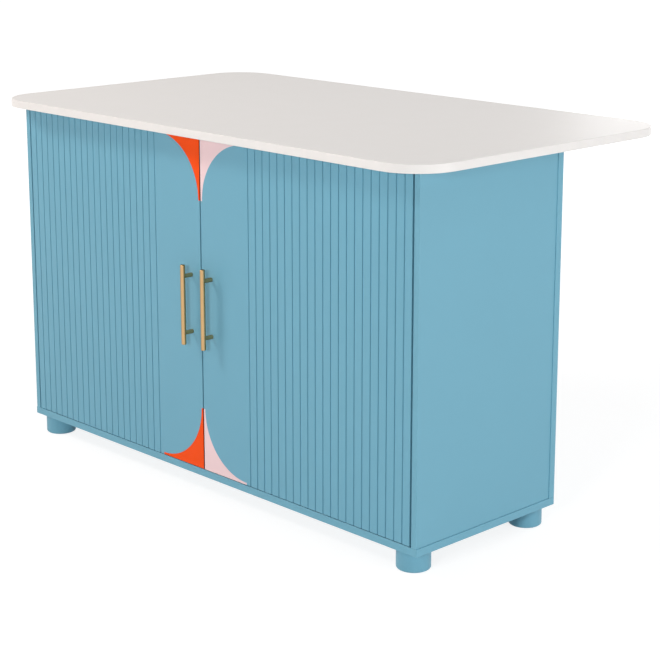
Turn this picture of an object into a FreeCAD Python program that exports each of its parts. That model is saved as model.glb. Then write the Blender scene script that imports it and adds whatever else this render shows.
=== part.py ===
import FreeCAD, Part
import math
import os
import re

import Sketcher

# Kitchen island unit: a two-door base cabinet on four round feet under a long overhanging worktop.
# Millimetres, +Z up. The origin is on the floor under the middle of the worktop, and the doors face -Y.
# Each body is drawn with x = 0 on the cabinet's centre line and y = 0 on the plane of the door fronts.

DRIVING = [
    # Worktop and overall height.
    ("overall_height", 914),
    ("worktop_width", 1520),
    ("worktop_depth", 860),
    ("worktop_thick", 20),
    ("worktop_corner", 110),
    ("worktop_edge", 2),
    ("front_overhang", 60),
    # Carcass boards.
    ("base_width", 1420),
    ("base_depth", 468),
    ("base_thick", 18),
    ("side_thick", 15),
    ("side_setback", 2),
    ("back_thick", 18),
    ("partition_thick", 18),
    ("partition_setback", 20),
    ("rail_thick", 18),
    ("rail_width", 100),
    ("rail_setback", 36),
    ("board_edge", 1),
    # Shelves and their pins.
    ("shelf_thick", 18),
    ("shelf_height", 400),
    ("shelf_setback", 40),
    ("shelf_play", 1),
    ("pin_diameter", 5),
    ("pin_head", 7),
    ("pin_reach", 8),
    ("pin_hole_pitch", 32),
    ("pin_hole_depth", 8),
    ("pin_end_play", 0.5),
    ("pin_front", 80),
    ("pin_rear", 400),
    # Feet and their fixings.
    ("foot_diameter", 78),
    ("foot_height", 48),
    ("foot_round", 5),
    ("foot_inset_side", 50),
    ("foot_inset_front", 44),
    ("foot_bolt_diameter", 8),
    ("foot_bolt_bite", 30),
    ("nut_flange", 22),
    ("nut_flange_thick", 1.5),
    ("nut_barrel", 10),
    ("nut_height", 12),
    # Doors, their ribs and their colour inlays.
    ("door_thick", 18),
    ("door_gap", 5),
    ("door_bottom_gap", 2),
    ("door_top_gap", 6),
    ("seam_gap", 4),
    ("flat_strip", 168.5),
    ("groove_count", 21),
    ("groove_pitch", 24.75),
    ("groove_width", 3.6),
    ("groove_depth", 3.4),
    ("inlay_reach", 154),
    ("inlay_tip", 5),
    ("inlay_flat", 0.5),
    ("inlay_thick", 3),
    ("door_edge", 0.8),
    # Bar handles.
    ("handle_from_seam", 36.5),
    ("handle_height", 479.5),
    ("handle_length", 196),
    ("handle_centres", 140),
    ("handle_standoff", 27),
    ("bar_diameter", 12),
    ("post_diameter", 10),
    ("bar_chamfer", 0.8),
    ("handle_screw", 4),
    ("handle_screw_bite", 10),
    ("handle_screw_head", 8),
    ("handle_screw_head_thick", 2.2),
    # Concealed hinges: cup in the door, cranked arm and plate on the side panel.
    ("hinge_count", 3),
    ("hinge_end", 100),
    ("cup_from_edge", 20.5),
    ("cup_diameter", 35),
    ("cup_depth", 12.5),
    ("cup_wall", 1),
    ("cup_rim", 1.5),
    ("cup_flange", 1),
    ("wing_width", 18),
    ("wing_length", 60),
    ("wing_corner", 3),
    ("wing_screws", 45),
    ("wing_screw_shift", 5),
    ("pivot_depth", 9.5),
    ("hinge_pin_diameter", 2.5),
    ("pin_clearance", 0.05),
    ("eye_wall", 1.3),
    ("arm_height", 12),
    ("arm_thick", 2.4),
    ("neck_back", 26.8),
    ("neck_angle", 42.5),
    ("neck_bend", 5),
    ("arm_bend", 6),
    ("arm_seat", 9.4),
    ("channel_play", 0.2),
    ("channel_wall", 1.8),
    ("channel_lip", 3),
    ("plate_from_front", 70),
    ("plate_length", 34),
    ("plate_foot", 2),
    ("plate_wing", 14),
    ("plate_span", 46),
    ("plate_screws", 32),
    ("plate_screw", 3.5),
    ("plate_screw_bite", 11),
    ("plate_screw_tip", 2),
    ("plate_screw_head_thick", 2),
    ("arm_screw", 4),
    ("arm_screw_bite", 6),
    ("arm_screw_head_thick", 1.8),
    ("head_slope", 1),
    # Knock-down fixings.
    ("cam_diameter", 15),
    ("cam_from_edge", 34),
    ("cam_slot", 7.4),
    ("cam_slot_start", 1),
    ("cam_skin_side", 2.5),
    ("cam_skin_rail", 4),
    ("driver_slot", 2),
    ("driver_slot_length", 10),
    ("cam_bolt_bore", 7),
    ("cam_bolt_shank", 5),
    ("cam_bolt_bite", 11),
    ("cam_bolt_head", 4),
    ("cam_bolt_play", 0.1),
    ("dowel_diameter", 8),
    ("dowel_length", 30),
    ("dowel_bite", 10),
    ("dowel_spread", 32),
    ("end_chamfer", 1),
    ("confirmat_diameter", 5),
    ("confirmat_neck", 7),
    ("confirmat_head", 10),
    ("confirmat_head_thick", 5),
    ("confirmat_length", 50),
    ("confirmat_front", 70),
    ("confirmat_rear", 390),
    ("confirmat_back_pitch", 350),
    ("wood_screw", 4),
    ("wood_screw_head", 8),
    ("wood_screw_head_thick", 2.5),
    ("wood_screw_tip", 3),
    ("worktop_screw_bite", 12),
    ("worktop_screw_pitch", 400),
    ("partition_screw_bite", 22),
    # Soft dots that the closed doors meet.
    ("buffer_diameter", 6),
    ("buffer_thick", 1.6),
    ("buffer_from_seam", 5),
    ("buffer_end", 40),
]

DERIVED = [
    ("front_y", "=front_overhang - worktop_depth / 2"),
    ("base_top", "=foot_height + base_thick"),
    ("carcass_top", "=overall_height - worktop_thick"),
    ("board_height", "=carcass_top - base_top"),
    ("back_y", "=base_depth - back_thick"),
    ("outer_x", "=base_width / 2 - side_setback"),
    ("inner_x", "=outer_x - side_thick"),
    ("side_middle", "=(outer_x + inner_x) / 2"),
    ("rail_middle", "=rail_setback + rail_width / 2"),
    ("rear_rail_middle", "=back_y - rail_width / 2"),
    ("rail_end_z", "=carcass_top - rail_thick / 2"),
    ("door_outer", "=inner_x - door_gap"),
    ("door_inner", "=seam_gap / 2"),
    ("door_bottom", "=base_top + door_bottom_gap"),
    ("door_height", "=carcass_top - door_top_gap - door_bottom"),
    ("inlay_arc", "=inlay_reach - inlay_tip - inlay_flat"),
    ("pivot_x", "=door_outer - cup_from_edge"),
    ("pivot_to_side", "=inner_x - pivot_x"),
    ("hinge_pitch", "=(door_height - 2 * hinge_end) / (hinge_count - 1)"),
    ("cup_inner", "=cup_diameter - 2 * cup_wall"),
    ("pin_hole_z", "=shelf_height - pin_head / 2"),
    ("side_cam_depth", "=side_thick - cam_skin_side"),
    ("rail_cam_depth", "=rail_thick - cam_skin_rail"),
    ("back_fixing_pitch", "=(board_height - 2 * hinge_end) / 2"),
]

SIDES = (("left", -1), ("right", 1))
BOTH = (-1, 1)
KEPT_WORDS = {"tan"}

doc = FreeCAD.newDocument("kitchen_island")
sheet = doc.addObject("Spreadsheet::Sheet", "Sizes")
for row, (alias, content) in enumerate(DRIVING + DERIVED, start=1):
    sheet.set(f"A{row}", alias)
    sheet.set(f"B{row}", str(content))
    sheet.setAlias(f"B{row}", alias)
doc.recompute()

nodes = {}


def on_sheet(text):
    """Turns size names into references to the sheet's cells."""
    return re.sub(r"[a-z][a-z_]*", lambda m: m[0] if m[0] in KEPT_WORDS else f"Sizes.{m[0]}", str(text))


def value(text):
    return float(sheet.evalExpression(on_sheet(text)))


def bind(thing, prop, text):
    thing.setExpression(prop, on_sheet(text))


def new_body(label, z="0"):
    """An empty body, with its own zero on the centre line, on the front plane and at height z."""
    body = doc.addObject("PartDesign::Body", label)
    body.Label = label
    body.AllowCompound = True
    bind(body, "Placement.Base.y", "front_y")
    bind(body, "Placement.Base.z", z)
    return body


def keep(thing, label):
    thing.Label = label
    nodes[label] = thing
    return thing


def origin_part(body, role):
    return next(f for f in body.Origin.OriginFeatures if f.Role == role)


def new_sketch(body, role, offset="0"):
    """A sketch on a plane of the body's own origin. XZ_Plane's normal is -Y, so its offset is -y."""
    sketch = body.newObject("Sketcher::SketchObject", f"{body.Name}_sketch")
    sketch.AttachmentSupport = [(origin_part(body, role), "")]
    sketch.MapMode = "FlatFace"
    bind(sketch, "AttachmentOffset.Base.z", offset)
    return sketch


def hold(sketch, text, *constraint):
    """Adds a constraint whose size follows the sheet."""
    number = sketch.addConstraint(Sketcher.Constraint(*constraint, value(text)))
    sketch.renameConstraint(number, f"size_{number}")
    bind(sketch, f"Constraints.size_{number}", text)


def pin_point(sketch, x, y, geometry, point):
    hold(sketch, x, "DistanceX", -1, 1, geometry, point)
    hold(sketch, y, "DistanceY", -1, 1, geometry, point)


def circle(sketch, x, y, diameter):
    centre = FreeCAD.Vector(value(x), value(y), 0)
    ring = sketch.addGeometry(Part.Circle(centre, FreeCAD.Vector(0, 0, 1), value(diameter) / 2))
    hold(sketch, diameter, "Diameter", ring)
    pin_point(sketch, x, y, ring, 3)


def rounded(before, corner, after, radius):
    """The arc that rounds a corner, and its ends in the order in which the outline meets them."""
    back = (before - corner).normalize()
    ahead = (after - corner).normalize()
    half = back.getAngle(ahead) / 2
    centre = corner + (back + ahead).normalize() * (radius / math.sin(half))
    run = radius / math.tan(half)
    first, last = corner + back * run, corner + ahead * run
    left_turn = (-back).cross(ahead).z > 0
    start, end = (first, last) if left_turn else (last, first)
    angles = [math.atan2(p.y - centre.y, p.x - centre.x) for p in (start, end)]
    arc = Part.ArcOfCircle(Part.Circle(centre, FreeCAD.Vector(0, 0, 1), radius), *angles)
    return arc, first, last, (1, 2) if left_turn else (2, 1)


def outline(sketch, corners, closed=True):
    """Straight lines through the corners, each (x, y) or (x, y, radius), with the radius rounding it."""
    at = [FreeCAD.Vector(value(c[0]), value(c[1]), 0) for c in corners]
    count = len(at)
    arrive, leave, arcs = list(at), list(at), {}
    for i, corner in enumerate(corners):
        if len(corner) == 3:
            arc, arrive[i], leave[i], ends = rounded(at[i - 1], at[i], at[(i + 1) % count], value(corner[2]))
            arcs[i] = sketch.addGeometry(arc), ends
    lines = [
        sketch.addGeometry(Part.LineSegment(leave[i], arrive[(i + 1) % count]))
        for i in range(count if closed else count - 1)
    ]
    for i, corner in enumerate(corners):
        before = lines[i - 1] if closed or i else None
        after = lines[i] if i < len(lines) else None
        if i in arcs:
            arc, ends = arcs[i]
            point = sketch.addGeometry(Part.Point(at[i]), True)
            sketch.addConstraint(Sketcher.Constraint("Tangent", before, 2, arc, ends[0]))
            sketch.addConstraint(Sketcher.Constraint("Tangent", arc, ends[1], after, 1))
            sketch.addConstraint(Sketcher.Constraint("PointOnObject", point, 1, before))
            sketch.addConstraint(Sketcher.Constraint("PointOnObject", point, 1, after))
            hold(sketch, corner[2], "Radius", arc)
            pin_point(sketch, corner[0], corner[1], point, 1)
            continue
        if before is not None and after is not None:
            sketch.addConstraint(Sketcher.Constraint("Coincident", before, 2, after, 1))
        pin_point(sketch, corner[0], corner[1], *((before, 2) if after is None else (after, 1)))


def box_outline(sketch, left, right, low, high):
    outline(sketch, [(left, low), (right, low), (right, high), (left, high)])


def pad(body, sketch, length, reverse=False, centred=False):
    feature = body.newObject("PartDesign::Pad", "pad")
    feature.Profile = sketch
    bind(feature, "Length", length)
    feature.Reversed = reverse
    if centred:
        feature.SideType = "Symmetric"
    return feature


def pocket(body, sketch, depth, reverse=False, centred=False):
    """Cuts against the sketch's normal, along it with reverse, or half of the depth each way."""
    doc.recompute()
    volume = body.Shape.Volume
    feature = body.newObject("PartDesign::Pocket", "pocket")
    feature.Profile = sketch
    bind(feature, "Length", depth)
    feature.Reversed = reverse
    if centred:
        feature.SideType = "Symmetric"
    doc.recompute()
    if body.Shape.Volume > volume - 0.1:
        raise RuntimeError(f"{body.Label}: a pocket cuts nothing")
    return feature


def drill(body, role, offset, places, diameter, depth, reverse=False):
    """Round holes of one size from one plane."""
    sketch = new_sketch(body, role, offset)
    for x, y in places:
        circle(sketch, x, y, diameter)
    return pocket(body, sketch, depth, reverse)


def spin(body, sketch, axis):
    feature = body.newObject("PartDesign::Revolution", "turned")
    feature.Profile = sketch
    feature.ReferenceAxis = (sketch, [axis])
    feature.Angle = 360
    return feature


def repeat(body, features, role, length, count, second=None, backwards=False):
    """Repeats features, or the whole body if there are none, in a row or, with a second row, in a grid."""
    doc.recompute()
    feature = body.newObject("PartDesign::LinearPattern", "row")
    if features:
        feature.Originals = features
    else:
        feature.TransformMode = "Whole shape"
    feature.Direction = (origin_part(body, role), [""])
    feature.Reversed = backwards
    bind(feature, "Length", length)
    bind(feature, "Occurrences", count)
    if second:
        feature.Direction2 = (origin_part(body, second[0]), [""])
        bind(feature, "Length2", second[1])
        bind(feature, "Occurrences2", second[2])
    body.Tip = feature
    return feature


def mirror(body):
    """Repeats the whole body on the other side of the centre line."""
    feature = body.newObject("PartDesign::Mirrored", "mirrored")
    feature.TransformMode = "Whole shape"
    feature.MirrorPlane = (origin_part(body, "YZ_Plane"), [""])
    body.Tip = feature
    return feature


def ease(body, kind, radius, test):
    """Rounds or chamfers the edges of the body whose every point passes the test."""
    doc.recompute()
    solid = body.Tip
    place = body.Placement.inverse()
    chosen = [
        f"Edge{i + 1}"
        for i, edge in enumerate(body.Shape.Edges)
        if all(test(place.multVec(p)) for p in edge.discretize(5))
    ]
    feature = body.newObject(f"PartDesign::{kind}", kind.lower())
    feature.Base = (solid, chosen)
    bind(feature, "Radius" if kind == "Fillet" else "Size", radius)
    body.Tip = feature
    return feature


def near(number, text):
    return abs(number - value(text)) < 0.01


def group(label, bodies):
    """Separate solids that share one node."""
    compound = doc.addObject("Part::Compound", label)
    compound.Links = bodies
    return keep(compound, label)


def at_hinges():
    """Heights of the hinges above the door's lower edge."""
    return [f"hinge_end + {i} * hinge_pitch" for i in range(int(value("hinge_count")))]


# ---------------------------------------------------------------------------------------------
# Base plate: carries everything, stands 2 mm proud of the side panels and takes the feet below.
# Confirmat screws rise through it into the upright boards.

CONFIRMAT_ROWS = ("confirmat_front", "confirmat_rear")


def confirmat_grid():
    return [(x, y) for x in ("-side_middle", "0", "side_middle") for y in CONFIRMAT_ROWS]


def confirmat_row():
    return [(f"{k} * confirmat_back_pitch", "back_y + back_thick / 2") for k in (-1.5, -0.5, 0.5, 1.5)]


def foot_places():
    return [
        (f"{sx} * (base_width / 2 - foot_inset_side)", y)
        for sx in (-1, 1)
        for y in ("foot_inset_front", "base_depth - foot_inset_front")
    ]


base = keep(new_body("base_plate", "foot_height"), "base_plate")
plan = new_sketch(base, "XY_Plane")
box_outline(plan, "-base_width / 2", "base_width / 2", "0", "base_depth")
pad(base, plan, "base_thick")
ease(base, "Fillet", "board_edge", lambda p: True)
drill(base, "XY_Plane", "base_thick", foot_places(), "nut_barrel", "base_thick")
drill(base, "XY_Plane", "base_thick", foot_places(), "nut_flange", "nut_flange_thick")
drill(base, "XY_Plane", "base_thick", confirmat_grid() + confirmat_row(), "confirmat_neck", "base_thick")
drill(base, "XY_Plane", "0", confirmat_grid() + confirmat_row(),
      "confirmat_head", "confirmat_head_thick", True)


# Feet: turned drums with a rounded lower edge, bored for a hanger bolt.
for name, (x, y) in zip(("front_left", "rear_left", "front_right", "rear_right"), foot_places()):
    foot = keep(new_body(f"foot_{name}"), f"foot_{name}")
    plan = new_sketch(foot, "XY_Plane")
    circle(plan, x, y, "foot_diameter")
    pad(foot, plan, "foot_height")
    ease(foot, "Fillet", "foot_round", lambda p: near(p.z, "0"))
    drill(foot, "XY_Plane", "foot_height", [(x, y)], "foot_bolt_diameter", "foot_bolt_bite")

# A hanger bolt stands in each foot and screws into a flanged nut sunk in the base plate.
FOOT_ROW = ("X_Axis", "base_width - 2 * foot_inset_side", "2")
FOOT_COLUMN = ("Y_Axis", "base_depth - 2 * foot_inset_front", "2")


def foot_hardware(label, z, corners):
    """Turns the first piece over the front left foot and repeats it over the others."""
    body = keep(new_body(label, z), label)
    bind(body, "Placement.Base.x", "foot_inset_side - base_width / 2")
    bind(body, "Placement.Base.y", "front_y + foot_inset_front")
    profile = new_sketch(body, "XZ_Plane")
    outline(profile, corners)
    turned = spin(body, profile, "V_Axis")
    repeat(body, [turned], *FOOT_ROW, second=FOOT_COLUMN)


foot_hardware("foot_bolts", "foot_height", [
    ("0", "-foot_bolt_bite"),
    ("foot_bolt_diameter / 2 - end_chamfer", "-foot_bolt_bite"),
    ("foot_bolt_diameter / 2", "end_chamfer - foot_bolt_bite"),
    ("foot_bolt_diameter / 2", "base_thick - end_chamfer"),
    ("0", "base_thick - end_chamfer"),
])
foot_hardware("foot_nuts", "base_top", [
    ("foot_bolt_diameter / 2", "-nut_height"),
    ("nut_barrel / 2", "-nut_height"),
    ("nut_barrel / 2", "-nut_flange_thick"),
    ("nut_flange / 2", "-nut_flange_thick"),
    ("nut_flange / 2", "0"),
    ("foot_bolt_diameter / 2", "0"),
])


# ---------------------------------------------------------------------------------------------
# Upright boards. Heights inside them are measured from the top of the base plate.
# The side panels hold the hinge plates, shelf pins and cam locks, and the back takes the cam bolts.

BACK_FIXINGS = [f"hinge_end + {k} * back_fixing_pitch" for k in range(3)]
BACK_DOWELS = [f"hinge_end + {k} * back_fixing_pitch" for k in (0.5, 1.5)]
RAIL_MIDDLES = ("rail_middle", "rear_rail_middle")
PIN_ROWS = [
    (y, f"pin_hole_z - base_top + {k} * pin_hole_pitch")
    for y in ("pin_front", "pin_rear")
    for k in (-2, -1, 0, 1, 2)
]


def upright(label, left, right, low, high, height="board_height"):
    """A board that stands on the base plate, with eased edges."""
    body = keep(new_body(label, "base_top"), label)
    plan = new_sketch(body, "XY_Plane")
    box_outline(plan, left, right, low, high)
    pad(body, plan, height)
    ease(body, "Fillet", "board_edge", lambda p: True)
    return body


for name, side in SIDES:
    panel = upright(f"side_panel_{name}", f"{side} * inner_x", f"{side} * outer_x", "0", "back_y")
    inward = ("YZ_Plane", f"{side} * inner_x")
    into = side > 0
    plate_holes = [
        ("plate_from_front", f"{z} + {s} * plate_screws / 2 + door_bottom_gap") for z in at_hinges() for s in (-1, 1)
    ]
    bolts = [(y, "board_height - rail_thick / 2") for y in RAIL_MIDDLES]
    pegs = [(f"{y} + {s} * dowel_spread", z) for y, z in bolts for s in (-1, 1)]
    drill(panel, *inward, PIN_ROWS, "pin_diameter", "pin_hole_depth", into)
    drill(panel, *inward, plate_holes, "plate_screw", "plate_screw_bite", into)
    drill(panel, *inward, bolts, "cam_bolt_bore", "cam_bolt_bite", into)
    drill(panel, *inward, pegs, "dowel_diameter", "dowel_bite", into)
    cams = [("back_y - cam_from_edge", z) for z in BACK_FIXINGS]
    drill(panel, *inward, cams, "cam_diameter", "side_cam_depth", into)
    middle = f"{side} * side_middle"
    rear = ("XZ_Plane", "-back_y")
    drill(panel, *rear, [(middle, z) for z in BACK_FIXINGS], "cam_bolt_bore", "cam_from_edge", True)
    drill(panel, *rear, [(middle, z) for z in BACK_DOWELS],
          "dowel_diameter", "dowel_length - dowel_bite", True)
    lower = [(middle, y) for y in CONFIRMAT_ROWS]
    drill(panel, "XY_Plane", "0", lower, "confirmat_diameter", "confirmat_length - base_thick", True)

back = upright("back_panel", "-base_width / 2", "base_width / 2", "back_y", "base_depth")
drill(back, "XZ_Plane", "-back_y", [(f"{s} * side_middle", z) for s in BOTH for z in BACK_FIXINGS],
      "cam_bolt_bore", "cam_bolt_bite")
drill(back, "XZ_Plane", "-back_y", [(f"{s} * side_middle", z) for s in BOTH for z in BACK_DOWELS],
      "dowel_diameter", "dowel_bite")
drill(back, "XY_Plane", "0", confirmat_row(), "confirmat_diameter", "confirmat_length - base_thick", True)

partition = upright("centre_partition", "-partition_thick / 2", "partition_thick / 2",
                    "partition_setback", "back_y", "board_height - rail_thick")
for side in BOTH:
    drill(partition, "YZ_Plane", f"{side} * partition_thick / 2", PIN_ROWS,
          "pin_diameter", "pin_hole_depth", side < 0)
drill(partition, "XY_Plane", "0", [("0", y) for y in CONFIRMAT_ROWS],
      "confirmat_diameter", "confirmat_length - base_thick", True)
drill(partition, "XY_Plane", "board_height - rail_thick", [("0", y) for y in RAIL_MIDDLES],
      "wood_screw", "partition_screw_bite")


# Rails: two flat boards between the side panels, which tie them together and carry the worktop.
WORKTOP_SCREW_X = [f"{k} * worktop_screw_pitch" for k in (-1.5, -0.5, 0.5, 1.5)]
for name, middle in zip(("front", "rear"), RAIL_MIDDLES):
    rail = keep(new_body(f"top_rail_{name}", "carcass_top - rail_thick"), f"top_rail_{name}")
    plan = new_sketch(rail, "XY_Plane")
    box_outline(plan, "-inner_x", "inner_x", f"{middle} - rail_width / 2", f"{middle} + rail_width / 2")
    pad(rail, plan, "rail_thick")
    ease(rail, "Fillet", "board_edge", lambda p: True)
    drill(rail, "XY_Plane", "0", [(f"{s} * (inner_x - cam_from_edge)", middle) for s in BOTH],
          "cam_diameter", "rail_cam_depth", True)
    drill(rail, "XY_Plane", "rail_thick", [(x, middle) for x in WORKTOP_SCREW_X], "wood_screw", "rail_thick")
    drill(rail, "XY_Plane", "rail_thick", [("0", middle)], "wood_screw", "rail_thick")
    drill(rail, "XY_Plane", "rail_thick", [("0", middle)], "wood_screw_head", "wood_screw_head_thick")
    for side in BOTH:
        end = ("YZ_Plane", f"{side} * inner_x")
        drill(rail, *end, [(middle, "rail_thick / 2")], "cam_bolt_bore", "cam_from_edge", side < 0)
        drill(rail, *end, [(f"{middle} + {s} * dowel_spread", "rail_thick / 2") for s in BOTH],
              "dowel_diameter", "dowel_length - dowel_bite", side < 0)


# ---------------------------------------------------------------------------------------------
# Worktop: one slab with large rounded corners, screwed down from under the rails.
top = keep(new_body("worktop", "carcass_top"), "worktop")
plan = new_sketch(top, "XY_Plane")
left, right = "-worktop_width / 2", "worktop_width / 2"
near_edge, far_edge = "-front_overhang", "worktop_depth - front_overhang"
outline(plan, [
    (left, near_edge, "worktop_corner"),
    (right, near_edge, "worktop_corner"),
    (right, far_edge, "worktop_corner"),
    (left, far_edge, "worktop_corner"),
])
pad(top, plan, "worktop_thick")
ease(top, "Fillet", "worktop_edge", lambda p: near(p.z, "worktop_thick") or near(p.z, "0"))
drill(top, "XY_Plane", "0", [(x, y) for x in WORKTOP_SCREW_X for y in RAIL_MIDDLES],
      "wood_screw", "worktop_screw_bite", True)


# Shelves: one on each side of the partition, each on four pins.
SHELF_BAYS = {
    -1: ("-inner_x + shelf_play", "-partition_thick / 2 - shelf_play"),
    1: ("partition_thick / 2 + shelf_play", "inner_x - shelf_play"),
}
for name, side in SIDES:
    shelf = keep(new_body(f"shelf_{name}", "shelf_height"), f"shelf_{name}")
    plan = new_sketch(shelf, "XY_Plane")
    box_outline(plan, *SHELF_BAYS[side], "shelf_setback", "back_y - shelf_play")
    pad(shelf, plan, "shelf_thick")
    ease(shelf, "Fillet", "board_edge", lambda p: True)


def shelf_pin_pair(wall, inward):
    """Two pins in one wall, a peg in the board and a thicker head under the shelf."""
    body = new_body("shelf_pin_pair", "pin_hole_z")
    bind(body, "Placement.Base.x", wall)
    bind(body, "Placement.Base.y", "front_y + pin_front")
    profile = new_sketch(body, "XZ_Plane")
    peg, head = f"{-inward} * (pin_hole_depth - pin_end_play)", f"{inward} * pin_reach"
    outline(profile, [
        (peg, "0"),
        (peg, "pin_diameter / 2"),
        ("0", "pin_diameter / 2"),
        ("0", "pin_head / 2"),
        (head, "pin_head / 2"),
        (head, "0"),
    ])
    turned = spin(body, profile, "H_Axis")
    repeat(body, [turned], "Y_Axis", "pin_rear - pin_front", "2")
    return body


for name, side in SIDES:
    group(f"shelf_pins_{name}", [
        shelf_pin_pair(f"{side} * inner_x", -side),
        shelf_pin_pair(f"{side} * partition_thick / 2", side),
    ])


# ---------------------------------------------------------------------------------------------
# Knock-down fixings, each kind one node of separate pieces.

def place_at(body, x, y):
    """Puts the body's zero over a point of the plan."""
    bind(body, "Placement.Base.x", x)
    bind(body, "Placement.Base.y", f"front_y + {y}")


def upright_screws(label, x, y, z, corners, first, second=None):
    """Screws that stand on end: (radius, height) corners turned about Z and repeated."""
    body = new_body(label, z)
    place_at(body, x, y)
    profile = new_sketch(body, "XZ_Plane")
    outline(profile, corners)
    repeat(body, [spin(body, profile, "V_Axis")], *first, second=second)
    return body


CONFIRMAT = [
    ("0", "0"),
    ("confirmat_head / 2", "0"),
    ("confirmat_head / 2", "confirmat_head_thick"),
    ("confirmat_neck / 2", "confirmat_head_thick"),
    ("confirmat_neck / 2", "base_thick"),
    ("confirmat_diameter / 2", "base_thick"),
    ("confirmat_diameter / 2", "confirmat_length - end_chamfer"),
    ("0", "confirmat_length"),
]
group("base_screws", [
    upright_screws("upright_screws", "-side_middle", "confirmat_front", "foot_height", CONFIRMAT,
                   ("X_Axis", "2 * side_middle", "3"),
                   ("Y_Axis", "confirmat_rear - confirmat_front", "2")),
    upright_screws("back_screws", "-1.5 * confirmat_back_pitch", "back_y + back_thick / 2",
                   "foot_height", CONFIRMAT, ("X_Axis", "3 * confirmat_back_pitch", "4")),
])
RAIL_TO_RAIL = ("Y_Axis", "rear_rail_middle - rail_middle", "2")
RAIL_UNDERSIDE = "carcass_top - rail_thick"
keep(upright_screws("worktop_screws", "-1.5 * worktop_screw_pitch", "rail_middle", RAIL_UNDERSIDE, [
    ("0", "-wood_screw_head_thick"),
    ("wood_screw_head / 2 - head_slope", "-wood_screw_head_thick"),
    ("wood_screw_head / 2", "0"),
    ("wood_screw / 2", "0"),
    ("wood_screw / 2", "rail_thick + worktop_screw_bite - wood_screw_tip"),
    ("0", "rail_thick + worktop_screw_bite"),
], ("X_Axis", "3 * worktop_screw_pitch", "4"), RAIL_TO_RAIL), "worktop_screws")
keep(upright_screws("partition_screws", "0", "rail_middle", "carcass_top", [
    ("0", "-rail_thick - partition_screw_bite"),
    ("wood_screw / 2", "wood_screw_tip - rail_thick - partition_screw_bite"),
    ("wood_screw / 2", "-wood_screw_head_thick"),
    ("wood_screw_head / 2", "-wood_screw_head_thick"),
    ("wood_screw_head / 2", "0"),
    ("0", "0"),
], RAIL_TO_RAIL), "partition_screws")


def turned_pair(label, z, y, plane, offset, corners, rows):
    """Pieces that lie along X or Y: corners turned about the plane's first axis, repeated and mirrored."""
    body = new_body(label, z)
    place_at(body, "0", y)
    profile = new_sketch(body, plane, offset)
    outline(profile, corners)
    spin(body, profile, "H_Axis")
    repeat(body, None, *rows[0], second=rows[1] if len(rows) > 1 else None)
    mirror(body)
    return body


BACK_ROW = ("Z_Axis", "2 * back_fixing_pitch", "3")
group("cam_bolts", [
    turned_pair("back_bolts", "base_top + hinge_end", "back_y", "YZ_Plane", "side_middle", [
        ("cam_bolt_bite", "0"),
        ("cam_bolt_bite", "cam_bolt_bore / 2"),
        ("0", "cam_bolt_bore / 2"),
        ("0", "cam_bolt_shank / 2"),
        ("cam_bolt_head - cam_from_edge", "cam_bolt_shank / 2"),
        ("cam_bolt_head - cam_from_edge", "cam_bolt_bore / 2 - cam_bolt_play"),
        ("-cam_from_edge", "cam_bolt_bore / 2 - cam_bolt_play"),
        ("-cam_from_edge", "0"),
    ], [BACK_ROW]),
    turned_pair("rail_bolts", "rail_end_z", "rail_middle", "XZ_Plane", "0", [
        ("inner_x + cam_bolt_bite", "0"),
        ("inner_x + cam_bolt_bite", "cam_bolt_bore / 2"),
        ("inner_x", "cam_bolt_bore / 2"),
        ("inner_x", "cam_bolt_shank / 2"),
        ("inner_x + cam_bolt_head - cam_from_edge", "cam_bolt_shank / 2"),
        ("inner_x + cam_bolt_head - cam_from_edge", "cam_bolt_bore / 2 - cam_bolt_play"),
        ("inner_x - cam_from_edge", "cam_bolt_bore / 2 - cam_bolt_play"),
        ("inner_x - cam_from_edge", "0"),
    ], [RAIL_TO_RAIL]),
])


def dowel(start):
    """The corners of one dowel with chamfered ends, which runs up from its start."""
    end = f"{start} + dowel_length"
    return [
        (start, "0"),
        (start, "dowel_diameter / 2 - end_chamfer"),
        (f"{start} + end_chamfer", "dowel_diameter / 2"),
        (f"{end} - end_chamfer", "dowel_diameter / 2"),
        (end, "dowel_diameter / 2 - end_chamfer"),
        (end, "0"),
    ]


group("dowels", [
    turned_pair("back_dowels", "base_top + hinge_end + back_fixing_pitch / 2", "back_y",
                "YZ_Plane", "side_middle", dowel("dowel_bite - dowel_length"),
                [("Z_Axis", "back_fixing_pitch", "2")]),
    turned_pair("rail_dowels", "rail_end_z", "rail_middle - dowel_spread",
                "XZ_Plane", "0", dowel("inner_x + dowel_bite - dowel_length"),
                [("Y_Axis", "2 * dowel_spread", "2"), RAIL_TO_RAIL]),
])


def cam(label, z, y, face, slot_plane, slot_box, slot_offset, depth, row):
    """Cam locks: a disc with a driver slot in its face and an opening in its side for the bolt's head."""
    body = new_body(label, z)
    place_at(body, "0", y)
    disc = new_sketch(body, *face[:2])
    circle(disc, *face[2], "cam_diameter")
    pad(body, disc, depth)
    opening = new_sketch(body, slot_plane, slot_offset)
    box_outline(opening, *slot_box)
    pocket(body, opening, "cam_slot", centred=True)
    driver = new_sketch(body, *face[:2])
    box_outline(driver, f"{face[2][0]} - driver_slot / 2", f"{face[2][0]} + driver_slot / 2",
                "-driver_slot_length / 2", "driver_slot_length / 2")
    pocket(body, driver, "driver_slot", True)
    repeat(body, None, *row)
    mirror(body)
    return body


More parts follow.
